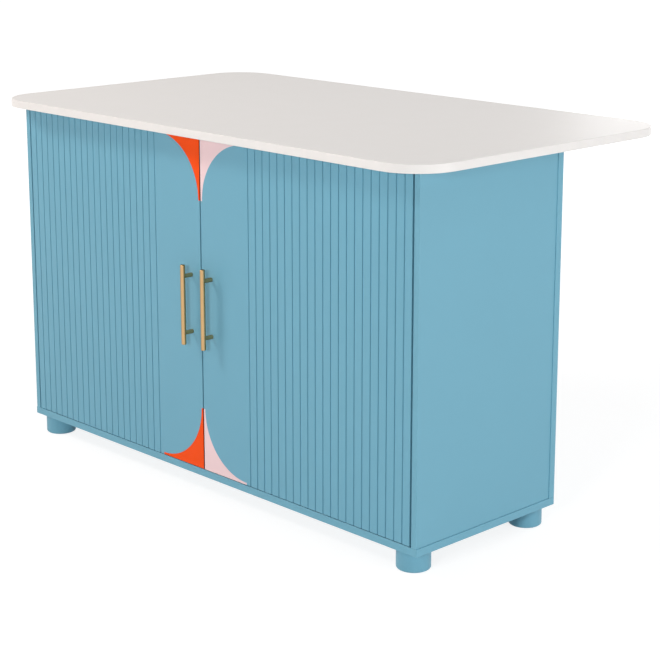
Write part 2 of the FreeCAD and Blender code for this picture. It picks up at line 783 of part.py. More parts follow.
group("cam_locks", [
    cam("back_cams", "base_top + hinge_end", "back_y - cam_from_edge",
        ("YZ_Plane", "inner_x", ("0", "0")), "XY_Plane",
        ("side_middle - cam_slot / 2", "side_middle + cam_slot / 2", "-cam_slot_start", "cam_diameter"),
        "0", "side_cam_depth", BACK_ROW),
    cam("rail_cams", RAIL_UNDERSIDE, "rail_middle",
        ("XY_Plane", "0", ("inner_x - cam_from_edge", "0")), "XZ_Plane",
        ("inner_x - cam_from_edge - cam_slot_start", "inner_x",
         "rail_thick / 2 - cam_slot / 2", "rail_thick / 2 + cam_slot / 2"),
        "0", "rail_cam_depth", RAIL_TO_RAIL),
])

# Soft dots on the front edge of the partition, two behind each door.
group("door_buffers", [
    turned_pair("buffers", "door_bottom + buffer_end", "partition_setback", "YZ_Plane", "buffer_from_seam", [
        ("0", "0"),
        ("0", "buffer_diameter / 2"),
        ("-buffer_thick / 2", "buffer_diameter / 2"),
        ("-buffer_thick", "buffer_diameter / 4"),
        ("-buffer_thick", "0"),
    ], [("Z_Axis", "door_height - 2 * buffer_end", "2")]),
])


# ---------------------------------------------------------------------------------------------
# Doors. Each is one ribbed board: V grooves leave flat ribs, a plain strip runs along the seam,
# and two routed recesses at its ends take the colour inlays, bounded by hollow quarter circles.

def inlay_corners(side, edge, up):
    """The inlay's outline from the door's inner edge and from its lower or upper edge."""
    reach, tip = "inlay_reach", "inlay_tip"
    points = [("0", "0"), (reach, "0"), (reach, tip), (tip, tip, "inlay_arc"), (tip, reach), ("0", reach)]
    return [(f"{side} * (door_inner + {x})", f"{edge} + {up} * {y}", *arc) for x, y, *arc in points]


INLAYS = (("lower", "0", 1), ("upper", "door_height", -1))

for name, side in SIDES:
    door = keep(new_body(f"door_{name}", "door_bottom"), f"door_{name}")
    plan = new_sketch(door, "XY_Plane")
    box_outline(plan, f"{side} * door_inner", f"{side} * door_outer", "0", "door_thick")
    pad(door, plan, "door_height")
    ease(door, "Fillet", "door_edge", lambda p: near(p.y, "0"))

    vee = new_sketch(door, "XY_Plane")
    first = f"{side} * (door_inner + flat_strip)"
    outline(vee, [
        (f"{first} - groove_width / 2", "0"),
        (first, "groove_depth"),
        (f"{first} + groove_width / 2", "0"),
    ])
    groove = pocket(door, vee, "door_height", True)
    repeat(door, [groove], "X_Axis", "(groove_count - 1) * groove_pitch", "groove_count", backwards=side < 0)

    for position, edge, up in INLAYS:
        recess = new_sketch(door, "XZ_Plane")
        outline(recess, inlay_corners(side, edge, up))
        pocket(door, recess, "inlay_thick")
        inlay = keep(new_body(f"inlay_{name}_{position}", "door_bottom"), f"inlay_{name}_{position}")
        shape = new_sketch(inlay, "XZ_Plane")
        outline(shape, inlay_corners(side, edge, up))
        pad(inlay, shape, "inlay_thick", True)

    rear = ("XZ_Plane", "-door_thick")
    drill(door, *rear, [(f"{side} * pivot_x", z) for z in at_hinges()], "cup_diameter", "cup_depth", True)
    wing_x = f"{side} * (pivot_x - wing_screw_shift)"
    wing_holes = [(wing_x, f"{z} + {s} * wing_screws / 2") for z in at_hinges() for s in BOTH]
    drill(door, *rear, wing_holes, "plate_screw", "plate_screw_bite", True)
    post_middle = "handle_height - door_bottom"
    posts = [(f"{side} * handle_from_seam", f"{post_middle} + {s} * handle_centres / 2") for s in BOTH]
    drill(door, "XZ_Plane", "0", posts, "handle_screw", "door_thick")


# Bar handles: a round bar on two posts, held by machine screws from behind the door.
for name, side in SIDES:
    across = f"{side} * handle_from_seam"
    bar = keep(new_body(f"handle_bar_{name}", "handle_height"), f"handle_bar_{name}")
    section = new_sketch(bar, "XY_Plane")
    circle(section, across, "-handle_standoff", "bar_diameter")
    pad(bar, section, "handle_length", centred=True)
    ease(bar, "Chamfer", "bar_chamfer", lambda p: near(abs(p.z), "handle_length / 2"))

    lower_post = "handle_height - handle_centres / 2"
    two_posts = ("Z_Axis", "handle_centres", "2")
    post = keep(new_body(f"handle_posts_{name}", lower_post), f"handle_posts_{name}")
    section = new_sketch(post, "XZ_Plane")
    circle(section, across, "0", "post_diameter")
    pad(post, section, "handle_standoff")
    saddle = new_sketch(post, "XY_Plane")
    circle(saddle, across, "-handle_standoff", "bar_diameter")
    pocket(post, saddle, "2 * post_diameter", centred=True)
    drill(post, "XZ_Plane", "0", [(across, "0")], "handle_screw", "handle_screw_bite", True)
    repeat(post, None, *two_posts)

    screw = keep(new_body(f"handle_screws_{name}", lower_post), f"handle_screws_{name}")
    profile = new_sketch(screw, "YZ_Plane", across)
    outline(profile, [
        ("-handle_screw_bite", "0"),
        ("-handle_screw_bite", "handle_screw / 2"),
        ("door_thick", "handle_screw / 2"),
        ("door_thick", "handle_screw_head / 2"),
        ("door_thick + handle_screw_head_thick", "handle_screw_head / 2 - head_slope"),
        ("door_thick + handle_screw_head_thick", "0"),
    ])
    spin(screw, profile, "H_Axis")
    repeat(screw, None, *two_posts)


# ---------------------------------------------------------------------------------------------
# Concealed hinges. The pivot pin sits inside the cup, so that the door's edge turns within its gap.
# The cranked arm leaves the cup midway between the closed and the open door, and wraps round behind
# the door's edge to the plate on the side panel.

HINGE_ROW = ("Z_Axis", "(hinge_count - 1) * hinge_pitch", "hinge_count")


def hinge_body(label, x, y):
    body = keep(new_body(label, "door_bottom + hinge_end"), label)
    place_at(body, x, y)
    return body


for name, side in SIDES:
    pivot = f"{side} * pivot_x"
    cup = hinge_body(f"hinge_cups_{name}", pivot, "door_thick")
    wing = new_sketch(cup, "XZ_Plane")
    middle = f"{-side} * wing_screw_shift"
    half_width, half_length = "wing_width / 2", "wing_length / 2"
    outline(wing, [
        (f"{middle} - {half_width}", f"-{half_length}", "wing_corner"),
        (f"{middle} + {half_width}", f"-{half_length}", "wing_corner"),
        (f"{middle} + {half_width}", half_length, "wing_corner"),
        (f"{middle} - {half_width}", half_length, "wing_corner"),
    ])
    pad(cup, wing, "cup_rim", True)
    profile = new_sketch(cup, "YZ_Plane")
    outline(profile, [
        ("-cup_depth", "0"),
        ("-cup_depth", "cup_diameter / 2"),
        ("0", "cup_diameter / 2"),
        ("0", "cup_diameter / 2 + cup_flange"),
        ("cup_rim", "cup_diameter / 2 + cup_flange"),
        ("cup_rim", "0"),
    ])
    spin(cup, profile, "H_Axis")
    drill(cup, "XZ_Plane", "-cup_rim", [("0", "0")], "cup_inner", "cup_depth + cup_rim - cup_wall", True)
    wing_holes = [(middle, f"{s} * wing_screws / 2") for s in BOTH]
    drill(cup, "XZ_Plane", "-cup_rim", wing_holes, "plate_screw", "cup_rim", True)
    pin_hole = new_sketch(cup, "XY_Plane")
    circle(pin_hole, "0", "pivot_depth - door_thick", "hinge_pin_diameter")
    pocket(cup, pin_hole, "cup_diameter - cup_wall", centred=True)
    repeat(cup, None, *HINGE_ROW)

    pin = hinge_body(f"hinge_pins_{name}", pivot, "pivot_depth")
    section = new_sketch(pin, "XY_Plane")
    circle(section, "0", "0", "hinge_pin_diameter")
    pad(pin, section, "cup_diameter - cup_wall", centred=True)
    repeat(pin, None, *HINGE_ROW)

    screws = hinge_body(f"hinge_cup_screws_{name}", f"{side} * (pivot_x - wing_screw_shift)", "door_thick")
    bind(screws, "Placement.Base.z", "door_bottom + hinge_end - wing_screws / 2")
    profile = new_sketch(screws, "YZ_Plane")
    outline(profile, [
        ("-plate_screw_bite", "0"),
        ("plate_screw_tip - plate_screw_bite", "plate_screw / 2"),
        ("cup_rim", "plate_screw / 2"),
        ("cup_rim", "plate_screw"),
        ("cup_rim + plate_screw_head_thick", "plate_screw - head_slope"),
        ("cup_rim + plate_screw_head_thick", "0"),
    ])
    spin(screws, profile, "H_Axis")
    repeat(screws, None, "Z_Axis", "wing_screws", "2", second=HINGE_ROW)

    arm = hinge_body(f"hinge_arms_{name}", pivot, "pivot_depth")
    seat = f"{side} * (pivot_to_side - arm_seat)"
    plate_near = "plate_from_front - plate_length / 2 - pivot_depth"
    plate_far = "plate_from_front + plate_length / 2 - pivot_depth"
    route = new_sketch(arm, "XY_Plane")
    outline(route, [
        (seat, plate_far),
        (seat, "neck_back", "arm_bend"),
        (f"{-side} * neck_back / tan(neck_angle)", "neck_back", "neck_bend"),
        (f"{-side} * hinge_pin_diameter / tan(neck_angle) / 2", "hinge_pin_diameter / 2"),
    ], closed=False)
    strip = new_sketch(arm, "XZ_Plane", f"-({plate_far})")
    box_outline(strip, f"{seat} - arm_thick / 2", f"{seat} + arm_thick / 2",
                "-arm_height / 2", "arm_height / 2")
    neck = arm.newObject("PartDesign::AdditivePipe", "neck")
    neck.Profile = strip
    neck.Spine = (route, [])
    eye = new_sketch(arm, "XY_Plane")
    circle(eye, "0", "0", "hinge_pin_diameter + 2 * (pin_clearance + eye_wall)")
    pad(arm, eye, "arm_height", centred=True)
    bore = new_sketch(arm, "XY_Plane")
    circle(bore, "0", "0", "hinge_pin_diameter + 2 * pin_clearance")
    pocket(arm, bore, "arm_height", centred=True)
    channel = new_sketch(arm, "XZ_Plane", f"-({plate_far})")
    web = f"{seat} - {side} * arm_thick / 2"
    lip = f"{side} * (pivot_to_side - channel_lip)"
    for way in BOTH:
        inside = f"{way} * (arm_height / 2 + channel_play)"
        box_outline(channel, web, lip, inside, f"{inside} + {way} * channel_wall")
    pad(arm, channel, "plate_length")
    cover = new_sketch(arm, "XZ_Plane", f"-({plate_far})")
    rim = "(arm_height / 2 + channel_play + channel_wall)"
    box_outline(cover, web, f"{seat} + {side} * arm_thick / 2", f"-{rim}", rim)
    pad(arm, cover, "plate_length")
    screw_places = [(f"plate_from_front - pivot_depth + {s} * plate_length / 4", "0") for s in BOTH]
    drill(arm, "YZ_Plane", web, screw_places, "arm_screw", "arm_thick", side > 0)
    repeat(arm, None, *HINGE_ROW)

    plate = hinge_body(f"hinge_plates_{name}", f"{side} * inner_x", "plate_from_front")
    boss = new_sketch(plate, "YZ_Plane")
    box_outline(boss, "-plate_length / 2", "plate_length / 2", "-arm_height / 2", "arm_height / 2")
    pad(plate, boss, "arm_seat - arm_thick / 2", side > 0)
    wings = new_sketch(plate, "YZ_Plane")
    outline(wings, [
        ("-plate_wing / 2", "-plate_span / 2", "plate_wing / 3"),
        ("plate_wing / 2", "-plate_span / 2", "plate_wing / 3"),
        ("plate_wing / 2", "plate_span / 2", "plate_wing / 3"),
        ("-plate_wing / 2", "plate_span / 2", "plate_wing / 3"),
    ])
    pad(plate, wings, "plate_foot", side > 0)
    foot_face = ("YZ_Plane", f"{-side} * plate_foot")
    drill(plate, *foot_face, [("0", f"{s} * plate_screws / 2") for s in BOTH],
          "plate_screw", "plate_foot", side > 0)
    boss_face = ("YZ_Plane", f"{-side} * (arm_seat - arm_thick / 2)")
    drill(plate, *boss_face, [(f"{s} * plate_length / 4", "0") for s in BOTH],
          "arm_screw", "arm_screw_bite", side > 0)
    repeat(plate, None, *HINGE_ROW)

    screws = hinge_body(f"hinge_plate_screws_{name}", f"{side} * inner_x", "plate_from_front")
    bind(screws, "Placement.Base.z", "door_bottom + hinge_end - plate_screws / 2")
    profile = new_sketch(screws, "XZ_Plane")
    outline(profile, [
        (f"{side} * plate_screw_bite", "0"),
        (f"{side} * (plate_screw_bite - plate_screw_tip)", "plate_screw / 2"),
        (f"{-side} * plate_foot", "plate_screw / 2"),
        (f"{-side} * plate_foot", "plate_screw"),
        (f"{-side} * (plate_foot + plate_screw_head_thick)", "plate_screw - head_slope"),
        (f"{-side} * (plate_foot + plate_screw_head_thick)", "0"),
    ])
    spin(screws, profile, "H_Axis")
    repeat(screws, None, "Z_Axis", "plate_screws", "2", second=HINGE_ROW)

    screws = hinge_body(f"hinge_arm_screws_{name}", f"{side} * inner_x",
                        "plate_from_front - plate_length / 4")
    profile = new_sketch(screws, "XZ_Plane")
    outline(profile, [
        (f"{-side} * (arm_seat - arm_thick / 2 - arm_screw_bite)", "0"),
        (f"{-side} * (arm_seat - arm_thick / 2 - arm_screw_bite)", "arm_screw / 2"),
        (f"{-side} * (arm_seat + arm_thick / 2)", "arm_screw / 2"),
        (f"{-side} * (arm_seat + arm_thick / 2)", "arm_screw"),
        (f"{-side} * (arm_seat + arm_thick / 2 + arm_screw_head_thick)", "arm_screw - head_slope"),
        (f"{-side} * (arm_seat + arm_thick / 2 + arm_screw_head_thick)", "0"),
    ])
    spin(screws, profile, "H_Axis")
    repeat(screws, None, "Y_Axis", "plate_length / 2", "2", second=HINGE_ROW)


# ---------------------------------------------------------------------------------------------
# Every feature and every shape is tested before the first file is written.
doc.recompute()
failed = [thing.Name for thing in doc.Objects if {"Invalid", "Error"} & set(thing.State)]
failed += [label for label, thing in nodes.items() if thing.Shape.isNull() or not thing.Shape.isValid()]
if failed:
    raise RuntimeError(f"failed: {failed}")

os.makedirs("parts", exist_ok=True)
for label, thing in nodes.items():
    thing.Shape.exportStep(f"parts/{label}.step")
print(f"{len(nodes)} nodes, {sum(len(thing.Shape.Solids) for thing in nodes.values())} solids")
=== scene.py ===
import math

import bmesh
import bpy
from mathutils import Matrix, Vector


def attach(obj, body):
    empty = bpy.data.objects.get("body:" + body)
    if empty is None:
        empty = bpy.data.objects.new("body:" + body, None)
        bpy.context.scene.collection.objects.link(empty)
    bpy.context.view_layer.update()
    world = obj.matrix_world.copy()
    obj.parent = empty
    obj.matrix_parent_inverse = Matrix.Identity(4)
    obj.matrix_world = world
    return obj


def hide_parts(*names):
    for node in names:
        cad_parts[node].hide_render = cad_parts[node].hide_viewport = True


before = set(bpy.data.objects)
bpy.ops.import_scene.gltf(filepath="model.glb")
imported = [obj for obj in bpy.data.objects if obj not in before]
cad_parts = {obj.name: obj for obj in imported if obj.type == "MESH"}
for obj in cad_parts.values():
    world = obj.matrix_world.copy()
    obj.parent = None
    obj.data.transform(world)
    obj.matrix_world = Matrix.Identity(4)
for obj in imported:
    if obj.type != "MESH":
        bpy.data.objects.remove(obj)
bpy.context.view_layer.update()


# ---- Base plate ------------------------------------------------------------------------------
# An 18 mm board of medium-density fibreboard that carries the cabinet. It is sprayed with blue
# satin enamel, as all the outer boards are, and screwed up into their lower ends.

MM = 0.001
DIMPLE_SIZE, DIMPLE_DEPTH = 2 * MM, 0.012 * MM
DRIFT_SIZE = 180 * MM
SHEEN_SPREAD = 0.03


def linear(hex_colour):
    """The linear colour of an sRGB hex value."""
    channels = [int(hex_colour[i:i + 2], 16) / 255 for i in (1, 3, 5)]
    return (*[c / 12.92 if c <= 0.04045 else ((c + 0.055) / 1.055) ** 2.4 for c in channels], 1.0)


def add_node(tree, kind, inputs=None, **settings):
    """Adds a node, sets its settings, and gives each input its value or links it to a socket."""
    new = tree.nodes.new(kind)
    for name, setting in settings.items():
        setattr(new, name, setting)
    for name, given in (inputs or {}).items():
        if isinstance(given, bpy.types.NodeSocket):
            tree.links.new(given, new.inputs[name])
        else:
            new.inputs[name].default_value = given
    return new


def new_material(name, tint):
    """An empty material, its node tree and the socket of its surface."""
    material = bpy.data.materials.new(name)
    material.use_nodes = True
    material.node_tree.nodes.clear()
    material.diffuse_color = linear(tint)
    output = add_node(material.node_tree, "ShaderNodeOutputMaterial")
    return material, material.node_tree, output.inputs["Surface"]


def satin_enamel(name, tint, shade, roughness, gloss=0.4, cut=None):
    """Enamel sprayed on a sanded board: the film dries with a fine orange peel, about 2 mm from
    dimple to dimple and a few microns deep, which breaks up reflections, and its tone drifts over
    a hand's width. Where cut is given, it gives the lowest and highest y between which the sawn
    edges and routed grooves lie, and a darker tone that multiplies the colour there: painted
    shade, standing in for the shade that falls in the grooves, gaps and seams."""
    material, tree, surface = new_material(name, tint)
    place = add_node(tree, "ShaderNodeTexCoord").outputs["Object"]
    peel = add_node(tree, "ShaderNodeTexNoise", {
        "Vector": place, "Scale": 1 / DIMPLE_SIZE, "Detail": 1.0,
    })
    mist = add_node(tree, "ShaderNodeTexNoise", {
        "Vector": place, "Scale": 1 / DRIFT_SIZE, "Detail": 2.0,
    })
    dimples = add_node(tree, "ShaderNodeBump", {
        "Height": peel.outputs["Fac"], "Distance": DIMPLE_DEPTH,
    })
    drift = add_node(tree, "ShaderNodeMix", {
        "Factor": mist.outputs["Fac"], "A": linear(tint), "B": linear(shade),
    }, data_type="RGBA")
    colour = drift.outputs["Result"]
    if cut:
        low, high, tone = cut
        across = add_node(tree, "ShaderNodeSeparateXYZ", {"Vector": place}).outputs["Y"]
        # The mask of the sawn and routed faces, whose colour is darkened as painted shade.
        painted_shade_mask = add_node(tree, "ShaderNodeMath", {
            0: across, 1: (low + high) / 2, 2: (high - low) / 2,
        }, operation="COMPARE")
        colour = add_node(tree, "ShaderNodeMix", {
            "Factor": painted_shade_mask.outputs[0], "A": colour, "B": linear(tone),
        }, data_type="RGBA", blend_type="MULTIPLY").outputs["Result"]
    sheen = add_node(tree, "ShaderNodeMapRange", {
        "Value": peel.outputs["Fac"],
        "To Min": roughness - SHEEN_SPREAD, "To Max": roughness + SHEEN_SPREAD,
    })
    film = add_node(tree, "ShaderNodeBsdfPrincipled", {
        "Base Color": colour,
        "Roughness": sheen.outputs["Result"],
        "IOR": 1.5,
        "Specular IOR Level": gloss,
        "Normal": dimples.outputs["Normal"],
    })
    tree.links.new(film.outputs["BSDF"], surface)
    return material


def finish_node(name, material):
    """Gives a node that keeps its own shape its finish."""
    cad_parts[name].data.materials.clear()
    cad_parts[name].data.materials.append(material)


blue_enamel = satin_enamel("blue_satin_enamel_on_fibreboard", "#6DA7BC", "#6BA4B9", 0.42)
finish_node("base_plate", blue_enamel)


# ---- Feet ------------------------------------------------------------------------------------
# Four drums turned from solid beech, 78 mm across with a rounded lower edge, under the corners
# of the base plate. They have the same blue enamel, which sinks a little into the end grain.

foot_enamel = satin_enamel("blue_satin_enamel_on_turned_beech", "#6CA5BA", "#69A1B6", 0.46)
for corner in ("front_left", "rear_left", "front_right", "rear_right"):
    finish_node(f"foot_{corner}", foot_enamel)


# ---- Upright boards, rails and shelves -------------------------------------------------------
# Side panels of 15 mm and a back and partition of 18 mm stand on the base plate. Two rails tie
# them together under the worktop, and a shelf lies on pins in each half. All are blue enamelled
# board.

for board in ("side_panel_left", "side_panel_right", "back_panel", "centre_partition",
              "top_rail_front", "top_rail_rear", "shelf_left", "shelf_right"):
    finish_node(board, blue_enamel)


# ---- Worktop ---------------------------------------------------------------------------------
# One long slab, 20 mm thick with rounded corners, screwed down from inside and left to overhang
# at the back as a breakfast bar. It has a white satin lacquer, rubbed smooth, that clouds a little.

CLOUD_SIZE = 60 * MM
WAVE_SIZE, WAVE_DEPTH = 9 * MM, 0.015 * MM


def rubbed_lacquer(name, tint, shade):
    """White catalysed lacquer, sprayed thick and rubbed down: smoother than enamel, with clouds
    of tone a few centimetres across and a slight waviness that long reflections show."""
    material, tree, surface = new_material(name, tint)
    place = add_node(tree, "ShaderNodeTexCoord").outputs["Object"]
    cloud = add_node(tree, "ShaderNodeTexNoise", {
        "Vector": place, "Scale": 1 / CLOUD_SIZE, "Detail": 3.0,
    })
    wave = add_node(tree, "ShaderNodeTexNoise", {
        "Vector": place, "Scale": 1 / WAVE_SIZE, "Detail": 1.0,
    })
    waviness = add_node(tree, "ShaderNodeBump", {
        "Height": wave.outputs["Fac"], "Distance": WAVE_DEPTH,
    })
    tone = add_node(tree, "ShaderNodeMix", {
        "Factor": cloud.outputs["Fac"], "A": linear(tint), "B": linear(shade),
    }, data_type="RGBA")
    film = add_node(tree, "ShaderNodeBsdfPrincipled", {
        "Base Color": tone.outputs["Result"],
        "Roughness": 0.38,
        "IOR": 1.5,
        "Normal": waviness.outputs["Normal"],
    })
    tree.links.new(film.outputs["BSDF"], surface)
    return material


white_lacquer = rubbed_lacquer("white_satin_lacquer", "#E7E4E2", "#E5E2DF")
finish_node("worktop", white_lacquer)


# ---- Doors -----------------------------------------------------------------------------------
# Each door is one 18 mm fibreboard blank with V grooves routed from end to end, a plain strip
# along the seam, and a recess at each end of that strip for a colour inlay. Cups are bored in
# the back.

DOOR_INNER, DOOR_OUTER = 2 * MM, 688 * MM
DOOR_LOW, DOOR_HIGH = 68 * MM, 888 * MM
DOOR_FRONT, DOOR_BACK = -370 * MM, -352 * MM
DOOR_EDGE = 0.4 * MM
GROOVES, GROOVE_PITCH, GROOVE_HALF, GROOVE_DEPTH = 21, 24.75 * MM, 1.8 * MM, 3.4 * MM
PLAIN_STRIP = 168.5 * MM
INLAY_REACH, INLAY_TIP, INLAY_ARC, INLAY_DEPTH = 154 * MM, 5 * MM, 148.5 * MM, 3 * MM
INLAY_FIT = 0.05 * MM
ARC_STEPS = 72
HINGE_X = 667.5 * MM
HINGE_Z = (168 * MM, 478 * MM, 788 * MM)
CUP_RADIUS, CUP_DEPTH, CUP_SIDES = 17.5 * MM, 12.5 * MM, 72
OVERSHOOT = 1 * MM
SKIN = 0.3 * MM
# A tone that darkens the groove walls and the doors' sawn edges: painted shade for the shade in the
# grooves and gaps.
GROOVE_AND_EDGE_SHADE = "#F1F3F4"


def new_object(name, mesh_data):
    made = bpy.data.objects.new(name, mesh_data)
    bpy.context.scene.collection.objects.link(made)
    return made


def prism(name, ring, along, start, end, taper=1.0):
    """A closed prism: a ring of (a, b) points in the plane square to one axis, from start to end
    on it, where taper scales the ring."""
    shape = bmesh.new()
    ends = []
    for level, scale in ((start, 1.0), (end, taper)):
        corners = []
        for a, b in ring:
            a, b = a * scale, b * scale
            point = {"X": (level, a, b), "Y": (a, level, b), "Z": (a, b, level)}[along]
            corners.append(shape.verts.new(point))
        ends.append(corners)
    shape.faces.new(ends[0])
    shape.faces.new(reversed(ends[1]))
    count = len(ring)
    for i in range(count):
        following = (i + 1) % count
        shape.faces.new((ends[0][i], ends[1][i], ends[1][following], ends[0][following]))
    bmesh.ops.recalc_face_normals(shape, faces=shape.faces)
    mesh_data = bpy.data.meshes.new(name)
    shape.to_mesh(mesh_data)
    shape.free()
    mesh_data.shade_smooth()
    return new_object(name, mesh_data)


def rectangle(low, high):
    return [(low[0], low[1]), (high[0], low[1]), (high[0], high[1]), (low[0], high[1])]


def ring_of(radius, count):
    turns = [2 * math.pi * i / count for i in range(count)]
    return [(radius * math.cos(turn), radius * math.sin(turn)) for turn in turns]


def inlay_ring(side, up, grow=0.0):
    """The inlay's outline, or its recess where it grows: two straight edges along the door's
    edges and a hollow quarter circle."""
    edge = DOOR_LOW if up > 0 else DOOR_HIGH
    middle = INLAY_TIP + INLAY_ARC
    radius = INLAY_ARC - grow
    sweep = [math.radians(270 - 90 * i / ARC_STEPS) for i in range(ARC_STEPS + 1)]
    curve = [(middle + radius * math.cos(a), middle + radius * math.sin(a)) for a in sweep]
    out = OVERSHOOT if grow else 0.0
    near, far = INLAY_TIP + grow, INLAY_REACH + grow
    points = [(-out, -out), (far, -out), (far, near), *curve, (near, far), (-out, far)]
    return [(side * (DOOR_INNER + x), edge + up * z) for x, z in points]


def router_tree():
    """Routes a blank: a row of grooves, a column of bored cups and the recesses are cut out."""
    tree = bpy.data.node_groups.new("routed_door", "GeometryNodeTree")
    face = tree.interface
    for name, kind in (("Blank", "Geometry"),
                       ("Groove cutter", "Object"), ("First groove", "Vector"),
                       ("Groove pitch", "Vector"), ("Groove count", "Int"),
                       ("Cup cutter", "Object"), ("First cup", "Vector"),
                       ("Cup pitch", "Vector"), ("Cup count", "Int"),
                       ("Lower recess", "Object"), ("Upper recess", "Object"),
                       ("Finish", "Material")):
        face.new_socket(name, in_out="INPUT", socket_type=f"NodeSocket{kind}")
    face.new_socket("Door", in_out="OUTPUT", socket_type="NodeSocketGeometry")
    given = add_node(tree, "NodeGroupInput").outputs
    cuts = add_node(tree, "GeometryNodeJoinGeometry")
    for cutter, first, pitch, count in (
        ("Groove cutter", "First groove", "Groove pitch", "Groove count"),
        ("Cup cutter", "First cup", "Cup pitch", "Cup count"),
    ):
        places = add_node(tree, "GeometryNodeMeshLine", {
            "Count": given[count], "Start Location": given[first], "Offset": given[pitch],
        })
        tool = add_node(tree, "GeometryNodeObjectInfo", {"Object": given[cutter]})
        row = add_node(tree, "GeometryNodeInstanceOnPoints", {
            "Points": places.outputs["Mesh"], "Instance": tool.outputs["Geometry"],
        })
        tree.links.new(row.outputs["Instances"], cuts.inputs["Geometry"])
    for recess in ("Lower recess", "Upper recess"):
        tool = add_node(tree, "GeometryNodeObjectInfo", {"Object": given[recess]})
        tree.links.new(tool.outputs["Geometry"], cuts.inputs["Geometry"])
    whole_cuts = add_node(tree, "GeometryNodeRealizeInstances", {
        "Geometry": cuts.outputs["Geometry"],
    })
    cut = add_node(tree, "GeometryNodeMeshBoolean", {
        "Mesh 1": given["Blank"], "Mesh 2": whole_cuts.outputs["Geometry"],
    }, operation="DIFFERENCE")
    smooth = add_node(tree, "GeometryNodeSetShadeSmooth", {
        "Geometry": cut.outputs["Mesh"], "Shade Smooth": True,
    })
    whole = add_node(tree, "GeometryNodeRealizeInstances", {
        "Geometry": smooth.outputs["Geometry"],
    })
    finished = add_node(tree, "GeometryNodeSetMaterial", {
        "Geometry": whole.outputs["Geometry"], "Material": given["Finish"],
    })
    add_node(tree, "NodeGroupOutput", {"Door": finished.outputs["Geometry"]})
    return tree


def run_tree(thing, tree, **inputs):
    """Adds the tree to an object as a modifier and sets its inputs by their identifiers, which
    are looked up by name."""
    modifier = thing.modifiers.new(tree.name, "NODES")
    modifier.node_group = tree
    keys = {item.name: item.identifier
            for item in tree.interface.items_tree if item.in_out == "INPUT"}
    for name, given in inputs.items():
        modifier[keys[name.replace("_", " ").capitalize()]] = given


def soften(thing, width):
    """Rounds the sharp edges, as sanding and a coat of paint do, and keeps the faces flat."""
    edges = thing.modifiers.new("softened_edges", "BEVEL")
    edges.width = width
    edges.segments = 2
    edges.limit_method = "ANGLE"
    edges.angle_limit = math.radians(25)
    flats = thing.modifiers.new("flat_faces", "WEIGHTED_NORMAL")
    flats.weight = 100
    flats.keep_sharp = True


def settle(thing, name):
    """Turns an object with modifiers into a plain mesh of its own, and drops the object."""
    graph = bpy.context.evaluated_depsgraph_get()
    mesh_data = bpy.data.meshes.new_from_object(
        thing.evaluated_get(graph), preserve_all_data_layers=True, depsgraph=graph)
    mesh_data.name = name
    bpy.data.objects.remove(thing)
    return new_object(name, mesh_data)


# The grooves and edges of the doors get a darker tone through cut, as painted shade.
door_enamel = satin_enamel("blue_satin_enamel_on_routed_board", "#6CA6BC", "#6AA4BA", 0.42,
                           cut=(DOOR_FRONT + SKIN, DOOR_BACK - SKIN, GROOVE_AND_EDGE_SHADE))
routed_door = router_tree()
slope = GROOVE_HALF / GROOVE_DEPTH
flare = GROOVE_HALF + slope * OVERSHOOT
groove_profile = [(-flare, DOOR_FRONT - OVERSHOOT), (flare, DOOR_FRONT - OVERSHOOT),
                  (0.0, DOOR_FRONT + GROOVE_DEPTH)]
groove_cutter = prism("groove_cutter", groove_profile, "Z",
                      DOOR_LOW - OVERSHOOT, DOOR_HIGH + OVERSHOOT)
cup_cutter = prism("cup_cutter", ring_of(CUP_RADIUS, CUP_SIDES), "Y",
                   DOOR_BACK - CUP_DEPTH, DOOR_BACK + OVERSHOOT)

for name, side in (("left", -1), ("right", 1)):
    section = rectangle((side * DOOR_INNER, DOOR_FRONT), (side * DOOR_OUTER, DOOR_BACK))
    blank = prism(f"door_blank_{name}", section, "Z", DOOR_LOW, DOOR_HIGH)
    recesses = [
        prism(f"recess_{name}_{position}", inlay_ring(side, up, grow=INLAY_FIT), "Y",
              DOOR_FRONT - OVERSHOOT, DOOR_FRONT + INLAY_DEPTH)
        for position, up in (("lower", 1), ("upper", -1))
    ]
    run_tree(blank, routed_door,
             groove_cutter=groove_cutter,
             first_groove=(side * (DOOR_INNER + PLAIN_STRIP), 0.0, 0.0),
             groove_pitch=(side * GROOVE_PITCH, 0.0, 0.0),
             groove_count=GROOVES,
             cup_cutter=cup_cutter,
             first_cup=(side * HINGE_X, 0.0, HINGE_Z[0]),
             cup_pitch=(0.0, 0.0, HINGE_Z[1] - HINGE_Z[0]),
             cup_count=len(HINGE_Z),
             lower_recess=recesses[0],
             upper_recess=recesses[1],
             finish=door_enamel)
    soften(blank, DOOR_EDGE)
    routed = settle(blank, f"routed_door_{name}")
    for recess in recesses:
        bpy.data.objects.remove(recess)
    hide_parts(f"door_{name}")
    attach(routed, f"door_{name}")
for cutter in (groove_cutter, cup_cutter):
    bpy.data.objects.remove(cutter)


# ---- Colour inlays ---------------------------------------------------------------------------
# Four 3 mm pieces of enamelled board let in flush at the ends of the seam, orange on the left
#  door and pale pink on the right, each bounded by a hollow quarter circle. Their sawn sides are
#  painted a darker tone: painted shade, which draws a fine dark line beside the seam.

INLAY_EDGE = 0.25 * MM
# A darker tone on the inlays' sides between these y: painted shade in the seam.
INLAY_SIDE_SHADE = "#8A7A72"

